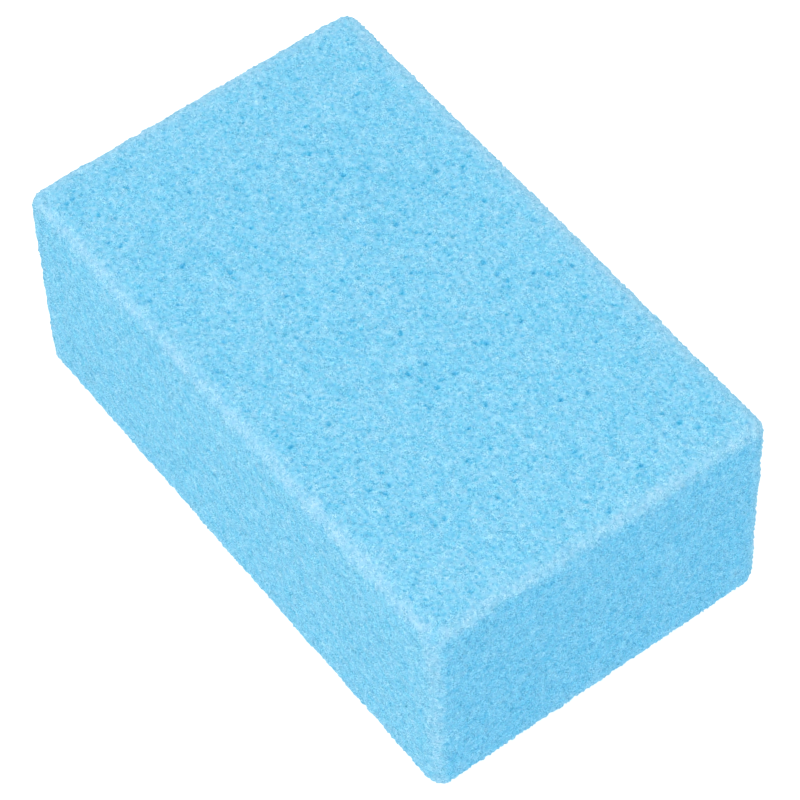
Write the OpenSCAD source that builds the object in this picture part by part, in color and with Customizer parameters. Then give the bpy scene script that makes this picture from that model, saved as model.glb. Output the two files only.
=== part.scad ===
// Nail buffer block: a rounded foam core with an abrasive coat bonded to each of its two large faces.
// The frame's origin is at the middle of the face that the block stands on. +X runs along the block's
// length, +Y across its width and +Z up. All sizes are in millimetres.

/* [Block] */
// Length of the block
block_length = 95; // [60:1:120]
// Width of the block
block_width = 57; // [40:1:80]
// Height of the block, over both abrasive faces
block_height = 39; // [20:1:50]
// Radius that every edge and corner of the block is ground to
edge_radius = 2.6; // [1.5:0.1:5]

/* [Abrasive faces] */
// Thickness of the grit coat on each large face
grit_thickness = 0.5; // [0.3:0.1:0.9]
// Thickness of the bond coat under each grit coat
bond_thickness = 0.2; // [0.1:0.05:0.4]

/* [Hidden] */

// Facets to a full turn of an edge's or a corner's round
round_facets = 64;

// Levels at which the layers meet, from the bottom up
bottom_grit_level = grit_thickness;
bottom_bond_level = bottom_grit_level + bond_thickness;
top_grit_level = block_height - grit_thickness;
top_bond_level = top_grit_level - bond_thickness;

// Places of the centres of the edge rounds on each axis
round_x = block_length / 2 - edge_radius;
round_y = block_width / 2 - edge_radius;
round_z = [edge_radius, block_height - edge_radius];

// Box centred on the Z axis, standing on the level z
module centred_box(size, z) {
    translate([-size[0] / 2, -size[1] / 2, z]) cube(size);
}

// The three boxes that reach the six flat faces
module flat_faces() {
    inner_length = 2 * round_x;
    inner_width = 2 * round_y;
    inner_height = round_z[1] - round_z[0];
    centred_box([inner_length, inner_width, block_height], 0);
    centred_box([block_length, inner_width, inner_height], edge_radius);
    centred_box([inner_length, block_width, inner_height], edge_radius);
}

// The rounds of the twelve edges
module edge_rounds() {
    for (x = [-round_x, round_x], y = [-round_y, round_y])
        translate([x, y, round_z[0]])
            cylinder(h = round_z[1] - round_z[0], r = edge_radius, $fn = round_facets);
    for (y = [-round_y, round_y], z = round_z)
        translate([-round_x, y, z])
            rotate([0, 90, 0])
                cylinder(h = 2 * round_x, r = edge_radius, $fn = round_facets);
    for (x = [-round_x, round_x], z = round_z)
        translate([x, round_y, z])
            rotate([90, 0, 0])
                cylinder(h = 2 * round_y, r = edge_radius, $fn = round_facets);
}

// The rounds of the eight corners
module corner_rounds() {
    for (x = [-round_x, round_x], y = [-round_y, round_y], z = round_z)
        translate([x, y, z]) sphere(r = edge_radius, $fn = round_facets);
}

// The whole block's outside, before it is divided into layers
module rounded_block() {
    union() {
        flat_faces();
        edge_rounds();
        corner_rounds();
    }
}

// The part of the block between two levels
module layer(low, high) {
    intersection() {
        rounded_block();
        centred_box([2 * block_length, 2 * block_width, high - low], low);
    }
}

// Open-cell foam block, bare on its two long sides and its two ends
module foam_core() {
    color([0.46, 0.79, 0.95]) layer(bottom_bond_level, top_bond_level);
}

// Flexible resin that holds the upper grit coat to the foam
module top_bond_coat() {
    color([0.62, 0.86, 0.97]) layer(top_bond_level, top_grit_level);
}

// Abrasive grain of the upper working face
module top_grit_coat() {
    color([0.52, 0.83, 0.96]) layer(top_grit_level, block_height);
}

// Flexible resin that holds the lower grit coat to the foam
module bottom_bond_coat() {
    color([0.62, 0.86, 0.97]) layer(bottom_grit_level, bottom_bond_level);
}

// Abrasive grain of the lower working face, which the block also stands on
module bottom_grit_coat() {
    color([0.52, 0.83, 0.96]) layer(0, bottom_grit_level);
}

foam_core();
top_bond_coat();
top_grit_coat();
bottom_bond_coat();
bottom_grit_coat();
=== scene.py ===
import math
from itertools import product

import bpy
import numpy as np
from mathutils import Euler, Matrix, Vector


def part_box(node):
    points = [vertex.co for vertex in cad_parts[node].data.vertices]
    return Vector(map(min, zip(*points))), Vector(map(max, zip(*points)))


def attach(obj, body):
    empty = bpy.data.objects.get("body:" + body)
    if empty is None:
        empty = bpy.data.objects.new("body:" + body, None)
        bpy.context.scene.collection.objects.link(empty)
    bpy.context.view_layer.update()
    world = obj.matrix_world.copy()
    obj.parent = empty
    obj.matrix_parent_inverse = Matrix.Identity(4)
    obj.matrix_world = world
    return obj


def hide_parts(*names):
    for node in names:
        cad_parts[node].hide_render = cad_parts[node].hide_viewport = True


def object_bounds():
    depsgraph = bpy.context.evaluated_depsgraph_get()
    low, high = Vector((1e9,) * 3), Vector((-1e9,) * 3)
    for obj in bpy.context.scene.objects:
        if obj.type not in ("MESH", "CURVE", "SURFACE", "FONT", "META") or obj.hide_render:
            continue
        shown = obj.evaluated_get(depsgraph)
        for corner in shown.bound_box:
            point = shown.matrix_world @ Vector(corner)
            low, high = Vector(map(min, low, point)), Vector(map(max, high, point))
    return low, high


# Nail buffer block: a foam core with an abrasive coat bonded to each large face. Every piece's outside is
# part of one skin, the rounded block's surface with the foam's cells and pores pressed into it, so that
# neighbouring pieces meet without a step.

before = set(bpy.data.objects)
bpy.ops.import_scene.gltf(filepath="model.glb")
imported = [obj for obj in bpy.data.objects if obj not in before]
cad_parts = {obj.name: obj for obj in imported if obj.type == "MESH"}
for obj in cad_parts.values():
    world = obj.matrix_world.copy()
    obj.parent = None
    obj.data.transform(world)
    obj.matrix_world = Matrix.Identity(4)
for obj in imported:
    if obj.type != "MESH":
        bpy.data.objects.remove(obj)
cad_low, cad_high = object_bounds()

# The block, in metres
MM = 0.001
LENGTH, WIDTH, HEIGHT = cad_high - cad_low
EDGE_RADIUS = 2.6 * MM
BODY = "root"

# Spacing of the skin's grid across the large faces and round the block, of its rows down the coats and down
# the core, and the number of its steps round an upright corner
SPACING = 0.28 * MM
COAT_ROWS = 0.28 * MM
CORE_ROWS = 0.43 * MM
CORNER_STEPS = 14

# Closed cells, pressed in everywhere. A cell's radius is in spacings, and along the rounded edges its depth
# is a share of its depth elsewhere
CELL_SPACING = 0.6 * MM
CELL_RADIUS = 0.7
CELL_DEPTH = 0.2 * MM
CELL_ON_EDGES = 0.6

# Open pores, mostly on the large faces. Their radii, smallest and largest, are in spacings, and the other
# numbers are shares of the deepest pore's depth
PORE_SPACING = 1.5 * MM
PORE_RADIUS = (0.10, 0.33)
PORE_DEPTH = 0.34 * MM
SMALL_PORES = 0.4
PORES_ON_SIDES = 0.1
PORES_ON_EDGES = 0.1

# Bending of the cells and pores out of round
WARP_SIZE = 0.6 * MM
WARP = 0.16 * MM

# Unevenness of the surface, from the finest to the broadest
FUZZ_SIZE = 0.32 * MM
FUZZ_HEIGHT = 0.25 * MM
RIPPLE_SIZE = 2.8 * MM
RIPPLE_HEIGHT = 0.1 * MM
WAVE_SIZE = 28 * MM
WAVE_HEIGHT = 0.22 * MM

# Painted highlight along the rounded edges, where light glows through the foam's edges: its half width on
# the three edges that meet at the near top corner and on the others, where it is wider to paint a light rim
# on the lower and far rounds, how far it wanders, its share on the upright edges, and its strength, which
# varies
EDGE_BAND = 0.85 * MM
FAR_EDGE_BAND = 1.5 * MM
EDGE_WANDER = 0.25 * MM
EDGE_WANDER_SIZE = 1.6 * MM
UPRIGHT_EDGES = 0.68
EDGE_STRENGTH = 0.9
EDGE_VARIES = 0.3
EDGE_VARIES_SIZE = 6 * MM

# Least gap between a piece's skin and the level where the next piece starts
LAYER_GAP = 0.02 * MM

# How sharply the painted shade on the two ends stops at their rounded edges
END_SHARPNESS = 8

# Length of the table of random numbers, the primes that mix a cell's three numbers into a place in the
# table, and the turn that keeps the noise's lattice out of line with the skin's grid
RANDOM_TABLE = 65521
MIXING_PRIMES = np.array([73856093, 19349663, 83492791])
LATTICE_TURN = np.array(Euler((0.6, 0.5, 0.4)).to_matrix())

# Colours from the hollows to the struts, on the faces and along the rounded edges. The darkest are partly
# painted shade in the hollows, and the edge colours are a painted highlight
FACE_TONES = [
    (0.060, 0.430, 0.690),
    (0.120, 0.535, 0.805),
    (0.194, 0.587, 0.831),
    (0.275, 0.630, 0.847),
    (0.362, 0.672, 0.860),
]
EDGE_HIGHLIGHT_TONES = [
    (0.18, 0.55, 0.79),
    (0.29, 0.618, 0.83),
    (0.41, 0.685, 0.87),
]

# What the shadow, the middle and the light of the finest grain multiply the colour by
GRAIN_TONES = [
    (0.50, 0.705, 0.785),
    (1, 1, 1),
    (1.48, 1.28, 1.19),
]

# Painted shade on the two ends, which their colour is multiplied by, and how far the hue strays
END_PAINTED_SHADE = (0.81, 0.95, 1.01)
HUE_SWING = 0.02
HUE_SIZE = 0.6 * MM

# Sizes of the material's other patterns
CLUMP_SIZE = 0.55 * MM
MOTTLE_SIZE = 1.8 * MM
PINHOLE_SPACING = 0.85 * MM
PINHOLE_RADIUS = 0.3 * MM
GRAIN_SIZE = 0.18 * MM
PATCH_SIZE = 0.7 * MM

# How much a cell and a pore count as hollow, and what a hollow and a clump do to the depth of colour and
# to the shade of the grain. The hollows' deeper blue is partly the foam's own and partly painted shade
CELL_HOLLOW = 0.3
PORE_HOLLOW = 0.8
HOLLOW_TONE = 0.7
HOLLOW_SHADE = 0.3
CLUMP_SHADE = 0.42

# Finest grain: how much its strength varies, its strength along the edges, the way the foam rose, along
# which it is drawn out, and the height of its bumps
PATCH_SWING = 3.4
GRAIN_ON_EDGES = 0.6
RISE = (0.48, -0.33, 0.81)
RISE_STRETCH = 2.2
BUMP_HEIGHT = 0.02 * MM

# Gloss of the foam: its roughness at the bottom and the top of the grain, and its specular level
ROUGHNESS = (0.98, 0.83)
SPECULAR_LEVEL = 0.2

# Floor, world and key light. Sizes and distances are in metres, and the key light's direction is from the
# block
FLOOR_SIZE = 8
FLOOR_DROP = 0.02 * MM
FLOOR_GREY = 0.4
FLOOR_GLOW = 0.8
FLOOR_ROUGHNESS = 0.9
FLOOR_SPECULAR = 0.1
WORLD_STRENGTH = 0.827
KEY_DIRECTION = (0.15, -0.33, 1)
KEY_DISTANCE = 1.2
KEY_SIZE = 0.9
KEY_POWER = 5.8

# Camera: its angles in degrees, its place from the block's centre in its own axes and in block lengths, and
# its lens and sensor in millimetres
AZIMUTH = 55.21
ELEVATION = 54.40
ROLL = 2.63
CAMERA_PLACE = (0.0113, -0.0175, 5.7400)
LENS = 173.85
SENSOR = 36


# ---------------------------------------------------------------- random fields

def cell_randoms(cells, seed):
    """Four random numbers from 0 to 1 for each whole-numbered cell, the same on every run."""
    table = np.random.default_rng(seed).random((RANDOM_TABLE, 4))
    x, y, z = (cells * MIXING_PRIMES).T
    return table[(x ^ y ^ z) % RANDOM_TABLE]


def smooth_noise(points, size, seed):
    """Soft noise from -1 to 1 whose bumps are about the given size."""
    scaled = points @ LATTICE_TURN / size
    home = np.floor(scaled).astype(np.int64)
    part = scaled - home
    ease = part * part * (3 - 2 * part)
    total = np.zeros(len(points))
    for step in product((0, 1), repeat=3):
        weight = np.prod(np.where(step, ease, 1 - ease), axis=1)
        total += weight * cell_randoms(home + step, seed)[:, 0]
    return 2 * total - 1


def nearest_bubble(points, size, seed):
    """Distance to the nearest bubble's centre, in sizes, and that bubble's own random number."""
    scaled = points @ LATTICE_TURN / size
    home = np.floor(scaled).astype(np.int64)
    distance = np.full(len(points), np.inf)
    number = np.zeros(len(points))
    for step in product((-1, 0, 1), repeat=3):
        cell = home + step
        randoms = cell_randoms(cell, seed)
        reach = np.linalg.norm(cell + randoms[:, :3] - scaled, axis=1)
        nearer = reach < distance
        distance[nearer] = reach[nearer]
        number[nearer] = randoms[nearer, 3]
    return distance, number


def between(start, end, share):
    """The value that lies a share of the way from the start to the end."""
    return start + (end - start) * share


# ---------------------------------------------------------------- relief of the skin

def edge_closeness(points):
    """Strength of the painted edge highlight at each place: most along an edge's middle, and 0 on the
    flats.
    """
    depth_x = LENGTH / 2 - np.abs(points[:, 0])
    depth_y = WIDTH / 2 - np.abs(points[:, 1])
    depth_z = np.minimum(points[:, 2], HEIGHT - points[:, 2])
    left, back, low = points[:, 0] < 0, points[:, 1] > 0, points[:, 2] < HEIGHT / 2
    wander = EDGE_WANDER * smooth_noise(points, EDGE_WANDER_SIZE, seed=61)
    total = np.zeros(len(points))
    for one, other, far, strength in (
        (depth_x, depth_y, left | back, UPRIGHT_EDGES),
        (depth_y, depth_z, back | low, 1),
        (depth_z, depth_x, low | left, 1),
    ):
        # Distance from the middle of the edge, along its round and then over the flat
        band = np.where(far, FAR_EDGE_BAND, EDGE_BAND)
        both = (one + other) / EDGE_RADIUS
        on_round = EDGE_RADIUS * np.arccos(np.clip((2 - both) / math.sqrt(2), math.sqrt(0.5), 1))
        on_flat = EDGE_RADIUS * np.maximum(both - 1, 0)
        total += strength * np.exp(-0.5 * ((on_round + on_flat + wander) / band) ** 2)
    varied = EDGE_STRENGTH + EDGE_VARIES * smooth_noise(points, EDGE_VARIES_SIZE, seed=62)
    return np.clip(total * varied, 0, 1)


def relief(points, normals):
    """Height of the skin over the plain rounded block, and the fields that the materials read."""
    edge = edge_closeness(points)
    large_face = np.abs(normals[:, 2]) ** 2
    faces_down = np.clip(-normals[:, 2], 0, 1)
    warp = np.stack([smooth_noise(points, WARP_SIZE, seed) for seed in (51, 52, 53)], axis=1)

    distance, number = nearest_bubble(points + WARP * warp, CELL_SPACING, seed=11)
    cell = np.clip(1 - (distance / CELL_RADIUS) ** 2, 0, 1) * number ** 2
    cell *= between(1, CELL_ON_EDGES, edge)

    distance, number = nearest_bubble(points + WARP * warp, PORE_SPACING, seed=23)
    pore = np.clip(1 - (distance / between(*PORE_RADIUS, number ** 2)) ** 2, 0, 1)
    pore *= between(SMALL_PORES, 1, number)
    pore *= between(PORES_ON_SIDES, 1, large_face) * between(1, PORES_ON_EDGES, edge)

    # The face that the block stands on has no waves, and its fuzz only goes inward
    waves = WAVE_HEIGHT * smooth_noise(points, WAVE_SIZE, seed=41)
    waves += RIPPLE_HEIGHT * smooth_noise(points, RIPPLE_SIZE, seed=43)
    height = waves * (1 - faces_down)
    height += FUZZ_HEIGHT * (smooth_noise(points, FUZZ_SIZE, seed=31) - faces_down)
    height -= CELL_DEPTH * cell
    height -= PORE_DEPTH * pore
    # The end field says where the two ends take their painted shade
    return height, {"pore": pore, "cell": cell, "edge": edge, "end": normals[:, 0] ** END_SHARPNESS}


# ---------------------------------------------------------------- skin of the block

def profile_length(height):
    """How far down the profile, from the top face's rim, the skin reaches a height."""
    quarter = EDGE_RADIUS * math.pi / 2
    if height > HEIGHT - EDGE_RADIUS:
        return EDGE_RADIUS * math.acos((height - HEIGHT + EDGE_RADIUS) / EDGE_RADIUS)
    if height < EDGE_RADIUS:
        return quarter + HEIGHT - 2 * EDGE_RADIUS + EDGE_RADIUS * math.asin(1 - height / EDGE_RADIUS)
    return quarter + HEIGHT - EDGE_RADIUS - height


def profile_point(length):
    """Offset outward, height and slope (a quarter turn on the top, none on the sides) down the profile."""
    quarter = EDGE_RADIUS * math.pi / 2
    straight = HEIGHT - 2 * EDGE_RADIUS
    if length < quarter:
        slope = math.pi / 2 - length / EDGE_RADIUS
        base = HEIGHT - EDGE_RADIUS
    elif length < quarter + straight:
        slope = 0
        base = HEIGHT - EDGE_RADIUS - (length - quarter)
    else:
        slope = -(length - quarter - straight) / EDGE_RADIUS
        base = EDGE_RADIUS
    return EDGE_RADIUS * math.cos(slope), base + EDGE_RADIUS * math.sin(slope), slope


def outline(cells_x, cells_y):
    """Once round the block from above: the grid vertex each sample springs from, and its angle outward."""
    corners = np.array([(cells_x, 0), (cells_x, cells_y), (0, cells_y), (0, 0)])
    springs, angles = [], []
    for side in range(4):
        start, end = corners[side], corners[(side + 1) % 4]
        cells = abs(end - start).sum()
        along = start + np.arange(cells + 1)[:, None] * (end - start) // cells
        springs += [*along, *[end] * (CORNER_STEPS - 1)]
        turns = side + np.arange(1, CORNER_STEPS) / CORNER_STEPS
        angles += [*[side] * (cells + 1), *turns]
    return np.array(springs), np.array(angles) * math.pi / 2


class Skin:
    """Points, outward directions and faces of one piece, gathered row by row from the top down."""

    def __init__(self):
        self.half = np.array([LENGTH / 2 - EDGE_RADIUS, WIDTH / 2 - EDGE_RADIUS])
        self.cells = np.array([math.ceil(2 * side / SPACING) for side in self.half])
        self.springs, angles = outline(*self.cells)
        self.inner = self.on_grid(self.springs)
        self.outward = np.c_[np.cos(angles), np.sin(angles)]
        self.points, self.normals, self.faces, self.flat_rings = [], [], [], []

    def on_grid(self, steps):
        """Places on the flat part of the large faces, from steps of the grid."""
        return (2 * steps / self.cells - 1) * self.half

    def add(self, points, normals):
        """Adds points, and gives the number of the first."""
        first = sum(len(some) for some in self.points)
        self.points.append(points)
        self.normals.append(normals)
        return first

    def add_grid(self, height, up):
        """Adds a large face, and gives its rim. Up is 1 where it faces up, and -1 where it faces down."""
        cells_x, cells_y = self.cells
        across, along = np.meshgrid(np.arange(cells_x + 1), np.arange(cells_y + 1))
        place = self.on_grid(np.c_[across.ravel(), along.ravel()])
        count = len(place)
        first = self.add(np.c_[place, np.full(count, height)], np.tile([0.0, 0.0, up], (count, 1)))
        corner = first + np.arange(count).reshape(cells_y + 1, cells_x + 1)
        quads = [corner[:-1, :-1], corner[:-1, 1:], corner[1:, 1:], corner[1:, :-1]]
        self.faces.extend(np.stack(quads, axis=-1).reshape(-1, 4)[:, ::up].tolist())
        return first + self.springs[:, 1] * (cells_x + 1) + self.springs[:, 0]

    def add_ring(self, length):
        """Adds a ring round the block at a length down the profile."""
        offset, height, slope = profile_point(length)
        samples = len(self.springs)
        place = np.c_[self.inner + offset * self.outward, np.full(samples, height)]
        normals = np.c_[math.cos(slope) * self.outward, np.full(samples, math.sin(slope))]
        return self.add(place, normals) + np.arange(samples)

    def close(self, ring, height, up):
        """Closes a piece inside a ring with a flat fan."""
        self.flat_rings.append(ring)
        after = np.roll(ring, -1)
        centre = self.add(np.array([[0.0, 0.0, height]]), np.zeros((1, 3)))
        self.faces.extend([(a, b, centre)[::up] for a, b in zip(ring.tolist(), after.tolist())])

    def join(self, upper, lower):
        """Joins two rings with faces, which have three corners where two samples share a point."""
        rings = (upper, lower, np.roll(lower, -1), np.roll(upper, -1))
        for a, b, c, d in zip(*(ring.tolist() for ring in rings)):
            corners = [a] + [b] * (b != a) + [c] * (c != b) + [d] * (d != c and d != a)
            self.faces.append(corners)


def skin_piece(name, low, high, row_spacing):
    """Closed mesh of the block between two heights: the skin outside, and flat faces inside."""
    skin = Skin()
    start, end = profile_length(high), profile_length(low)
    rows = math.ceil((end - start) / row_spacing)
    lengths = [start + (end - start) * row / rows for row in range(rows + 1)]
    rings = [skin.add_ring(length) for length in lengths[1:-1]]
    if high >= HEIGHT:
        rings.insert(0, skin.add_grid(HEIGHT, 1))
    else:
        rings.insert(0, skin.add_ring(start))
        skin.close(rings[0], high, 1)
    if low <= 0:
        rings.append(skin.add_grid(0, -1))
    else:
        rings.append(skin.add_ring(end))
        skin.close(rings[-1], low, -1)
    for upper, lower in zip(rings, rings[1:]):
        skin.join(upper, lower)

    points, normals = np.concatenate(skin.points), np.concatenate(skin.normals)
    height, fields = relief(points, normals)
    points += normals * height[:, None]
    keep_between(points, low, high, rings)
    mesh = bpy.data.meshes.new(name)
    mesh.from_pydata(points.tolist(), [], skin.faces)
    mesh.shade_smooth()
    mark_sharp(mesh, skin.flat_rings)
    for field, values in fields.items():
        attribute = mesh.attributes.new(field, "FLOAT", "POINT")
        attribute.data.foreach_set("value", values.astype(np.float32))
    mesh.update()
    piece = bpy.data.objects.new(name, mesh)
    bpy.context.scene.collection.objects.link(piece)
    return piece


def keep_between(points, low, high, rings):
    """Keeps a piece off its neighbours: its rims stay level, and the rest stays inside its own layer."""
    if low > 0:
        points[:, 2] = np.maximum(points[:, 2], low + LAYER_GAP)
        points[rings[-1], 2] = low
    if high < HEIGHT:
        points[:, 2] = np.minimum(points[:, 2], high - LAYER_GAP)
        points[rings[0], 2] = high


def mark_sharp(mesh, rings):
    """Keeps the shading of the flat inside faces apart from the skin's."""
    ends = np.empty(2 * len(mesh.edges), np.int64)
    mesh.edges.foreach_get("vertices", ends)
    ends = ends.reshape(-1, 2)
    sharp = np.zeros(len(ends), bool)
    for ring in rings:
        sharp |= np.isin(ends, ring).all(axis=1)
    mesh.attributes.new("sharp_edge", "BOOLEAN", "EDGE").data.foreach_set("value", sharp)


# ---------------------------------------------------------------- materials

class Nodes:
    """The nodes of one material. Each call makes a node or two and gives back their output."""

    def __init__(self, name):
        self.material = bpy.data.materials.new(name)
        self.material.use_nodes = True
        self.tree = self.material.node_tree
        self.shader = self.tree.nodes["Principled BSDF"]
        self.place = self.new("TexCoord").outputs["Object"]

    def new(self, kind):
        return self.tree.nodes.new("ShaderNode" + kind)

    def fill(self, socket, value):
        """Sets a socket to a number or a colour, or links it to another node's output."""
        if isinstance(value, bpy.types.NodeSocket):
            self.tree.links.new(value, socket)
        else:
            socket.default_value = value

    def drawn_out(self, direction, stretch):
        """Places for a pattern that is drawn out along a direction."""
        node = self.new("Mapping")
        node.vector_type = "TEXTURE"
        node.inputs["Rotation"].default_value = Vector(direction).to_track_quat("Z", "Y").to_euler()
        node.inputs["Scale"].default_value = (1, 1, stretch)
        self.fill(node.inputs["Vector"], self.place)
        return node.outputs["Vector"]

    def noise(self, size, detail=0, roughness=0.5, place=None):
        """Noise from 0 to 1 whose bumps are about the given size."""
        node = self.new("TexNoise")
        node.inputs["Scale"].default_value = 1 / size
        node.inputs["Detail"].default_value = detail
        node.inputs["Roughness"].default_value = roughness
        self.fill(node.inputs["Vector"], self.place if place is None else place)
        return node.outputs["Fac"]

    def specks(self, spacing, radius):
        """1 at the middle of small round specks, and 0 between them."""
        node = self.new("TexVoronoi")
        node.inputs["Scale"].default_value = 1 / spacing
        self.fill(node.inputs["Vector"], self.place)
        inside = self.times_plus(node.outputs["Distance"], -spacing / radius, 1)
        inside.node.use_clamp = True
        return inside

    def field(self, attribute):
        """One of the fields kept in the mesh."""
        node = self.new("Attribute")
        node.attribute_name = attribute
        return node.outputs["Fac"]

    def times_plus(self, value, factor, addend):
        node = self.new("Math")
        node.operation = "MULTIPLY_ADD"
        for socket, number in zip(node.inputs, (value, factor, addend)):
            self.fill(socket, number)
        return node.outputs["Value"]

    def swing(self, value, middle, width):
        """A value from 0 to 1 made to swing about a middle."""
        return self.times_plus(value, width, middle - width / 2)

    def ramp(self, value, colours):
        """Evenly spaced colours, picked by a value from 0 to 1."""
        node = self.new("ValToRGB")
        self.fill(node.inputs["Fac"], value)
        stops = node.color_ramp.elements
        while len(stops) < len(colours):
            stops.new(0.5)
        for index, colour in enumerate(colours):
            stops[index].position = index / (len(colours) - 1)
            stops[index].color = (*colour, 1)
        return node.outputs["Color"]

    def mix(self, kind, factor, first, second):
        """Two colours blended. Sockets 6 and 7 are the mix node's colours, and output 2 is its colour."""
        node = self.new("Mix")
        node.data_type = "RGBA"
        node.blend_type = kind
        self.fill(node.inputs["Factor"], factor)
        self.fill(node.inputs[6], first)
        self.fill(node.inputs[7], second)
        return node.outputs[2]

    def stray_hue(self, colour, value, width):
        """A colour whose hue strays to both sides as a value goes from 0 to 1."""
        node = self.new("HueSaturation")
        self.fill(node.inputs["Hue"], self.swing(value, 0.5, width))
        self.fill(node.inputs["Color"], colour)
        return node.outputs["Color"]

    def bump(self, height, distance):
        node = self.new("Bump")
        node.inputs["Distance"].default_value = distance
        self.fill(node.inputs["Height"], height)
        return node.outputs["Normal"]


def foam_material(name, tone, grain, clumps, mottle, pinholes):
    """Foam that is deep blue in its hollows, partly from painted shade, and pale on its struts, with a
    painted highlight along its rounded edges and painted shade on its two ends.

    The tone is the typical depth of colour, and the other numbers are the strengths of the patterns.
    """
    nodes = Nodes(name)
    edge = nodes.field("edge")

    # How hollow the foam is, in its cells, its open pores and its pinholes, which are painted dark specks
    # with no hole in the mesh
    hollow = nodes.times_plus(nodes.field("cell"), CELL_HOLLOW, 0)
    hollow = nodes.times_plus(nodes.field("pore"), PORE_HOLLOW, hollow)
    hollow = nodes.times_plus(nodes.specks(PINHOLE_SPACING, PINHOLE_RADIUS), pinholes, hollow)

    # Depth of colour, from 0 in the hollows to 1 on the struts; its drop in the hollows is partly painted
    # shade
    clump = nodes.noise(CLUMP_SIZE)
    depth = nodes.times_plus(clump, clumps, tone - (clumps + mottle) / 2)
    depth = nodes.times_plus(nodes.noise(MOTTLE_SIZE, detail=1, roughness=0.6), mottle, depth)
    depth = nodes.times_plus(hollow, -HOLLOW_TONE, depth)
    # Painted highlight: along the rounded edges the colour turns to the paler edge colours
    colour = nodes.mix("MIX", edge, nodes.ramp(depth, FACE_TONES), nodes.ramp(depth, EDGE_HIGHLIGHT_TONES))

    # Painted light and shade of the finest fibres, stronger in some patches than in others, and the painted
    # shade of the clumps and the hollows
    fine = nodes.noise(GRAIN_SIZE, detail=1, roughness=0.9, place=nodes.drawn_out(RISE, RISE_STRETCH))
    patchy = nodes.swing(nodes.noise(PATCH_SIZE), grain, PATCH_SWING * grain)
    strength = nodes.times_plus(patchy, nodes.times_plus(edge, GRAIN_ON_EDGES - 1, 1), 0)
    shade = nodes.swing(clump, 0.5, CLUMP_SHADE)
    shade = nodes.times_plus(hollow, -HOLLOW_SHADE, shade)
    shade = nodes.times_plus(nodes.swing(fine, 0, 1), strength, shade)
    colour = nodes.mix("MULTIPLY", 1, colour, nodes.ramp(shade, GRAIN_TONES))

    # Painted shade: the two ends are made darker and bluer
    colour = nodes.mix("MULTIPLY", nodes.field("end"), colour, (*END_PAINTED_SHADE, 1))
    colour = nodes.stray_hue(colour, nodes.noise(HUE_SIZE), HUE_SWING)
    at_bottom, at_top = ROUGHNESS
    nodes.fill(nodes.shader.inputs["Base Color"], colour)
    raised = nodes.times_plus(depth, 0.5, shade)
    nodes.fill(nodes.shader.inputs["Normal"], nodes.bump(raised, BUMP_HEIGHT))
    nodes.fill(nodes.shader.inputs["Roughness"], nodes.times_plus(fine, at_top - at_bottom, at_bottom))
    nodes.fill(nodes.shader.inputs["Specular IOR Level"], SPECULAR_LEVEL)
    return nodes.material


# ---------------------------------------------------------------- studio

def floor():
    """Pale floor, which glows a little so that the block hardly shades it."""
    bpy.ops.mesh.primitive_plane_add(size=FLOOR_SIZE)
    plane = bpy.context.object
    plane.name = "floor"
    plane.location.z = -FLOOR_DROP
    material = bpy.data.materials.new("pale_floor")
    material.use_nodes = True
    shader = material.node_tree.nodes["Principled BSDF"]
    shader.inputs["Base Color"].default_value = (FLOOR_GREY, FLOOR_GREY, FLOOR_GREY, 1)
    shader.inputs["Roughness"].default_value = FLOOR_ROUGHNESS
    shader.inputs["Specular IOR Level"].default_value = FLOOR_SPECULAR
    shader.inputs["Emission Color"].default_value = (1, 1, 1, 1)
    shader.inputs["Emission Strength"].default_value = FLOOR_GLOW
    plane.data.materials.append(material)


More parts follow.
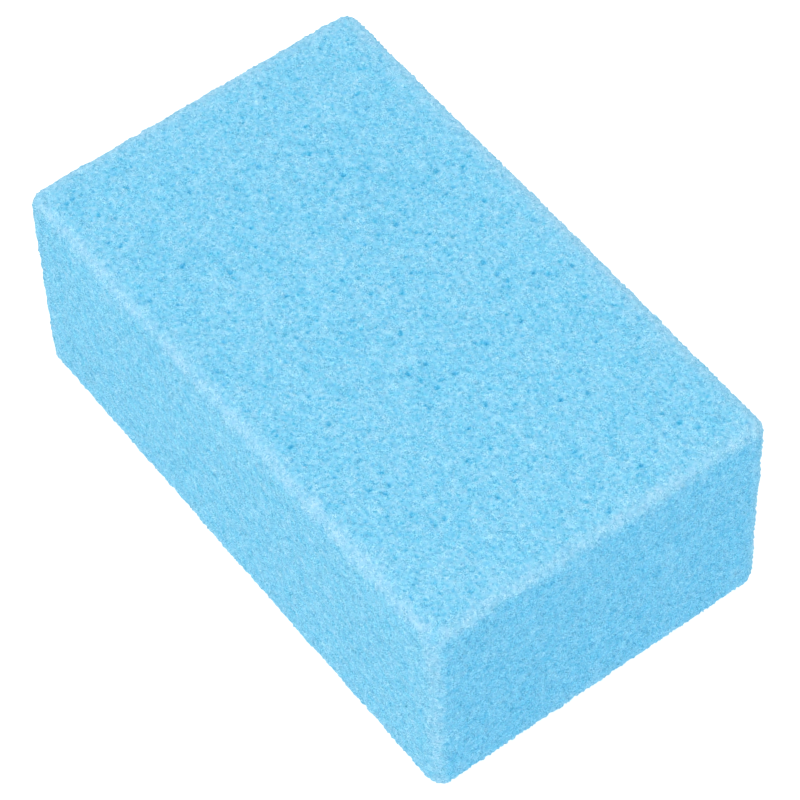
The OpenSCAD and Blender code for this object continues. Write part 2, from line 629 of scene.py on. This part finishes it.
def lights(centre):
    """Soft studio light: an even white surround and one large lamp overhead, a little to the front."""
    world = bpy.data.worlds.new("studio")
    world.use_nodes = True
    background = world.node_tree.nodes["Background"]
    background.inputs["Color"].default_value = (1, 1, 1, 1)
    background.inputs["Strength"].default_value = WORLD_STRENGTH
    bpy.context.scene.world = world
    lamp = bpy.data.lights.new("key", "AREA")
    lamp.shape = "SQUARE"
    lamp.size = KEY_SIZE
    lamp.energy = KEY_POWER
    key = bpy.data.objects.new("key", lamp)
    bpy.context.scene.collection.objects.link(key)
    toward = Vector(KEY_DIRECTION).normalized()
    key.location = centre + toward * KEY_DISTANCE
    key.rotation_mode = "QUATERNION"
    key.rotation_quaternion = toward.to_track_quat("Z", "Y")


def camera(centre):
    """Camera above the front right corner, with a long lens."""
    azimuth, elevation, roll = (math.radians(angle) for angle in (AZIMUTH, ELEVATION, ROLL))
    back = Vector((
        math.sin(azimuth) * math.cos(elevation),
        -math.cos(azimuth) * math.cos(elevation),
        math.sin(elevation),
    ))
    turn = back.to_track_quat("Z", "Y").to_matrix().to_4x4() @ Matrix.Rotation(-roll, 4, "Z")
    data = bpy.data.cameras.new("camera")
    data.sensor_width = SENSOR
    data.lens = LENS
    view = bpy.data.objects.new("camera", data)
    view.matrix_world = Matrix.Translation(centre + turn @ (LENGTH * Vector(CAMERA_PLACE))) @ turn
    bpy.context.scene.collection.objects.link(view)
    bpy.context.scene.camera = view


middle = (cad_low + cad_high) / 2
bpy.context.scene.view_settings.view_transform = "Standard"
camera(middle)
lights(middle)
floor()


# ---------------------------------------------------------------- the block

foam = foam_material("foam", tone=0.59, grain=2.95, clumps=0.35, mottle=0.6, pinholes=0.1)
grit = foam_material("grit", tone=0.625, grain=2.2, clumps=0.35, mottle=0.6, pinholes=0.45)

# Piece, the CAD node it stands for, its material slot and look, and the spacing of its rows
PIECES = [
    ("foam_block", "foam_core", "foam", foam, CORE_ROWS),
    ("top_bond", "top_bond_coat", "bond_resin", foam, COAT_ROWS),
    ("top_grit", "top_grit_coat", "grit", grit, COAT_ROWS),
    ("bottom_bond", "bottom_bond_coat", "bond_resin", foam, COAT_ROWS),
    ("bottom_grit", "bottom_grit_coat", "grit", grit, COAT_ROWS),
]
for name, node, slot, material, row_spacing in PIECES:
    node_low, node_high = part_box(node)
    piece = skin_piece(name, node_low.z, node_high.z, row_spacing)
    piece.data.materials.append(material)
    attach(piece, BODY)
    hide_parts(node)
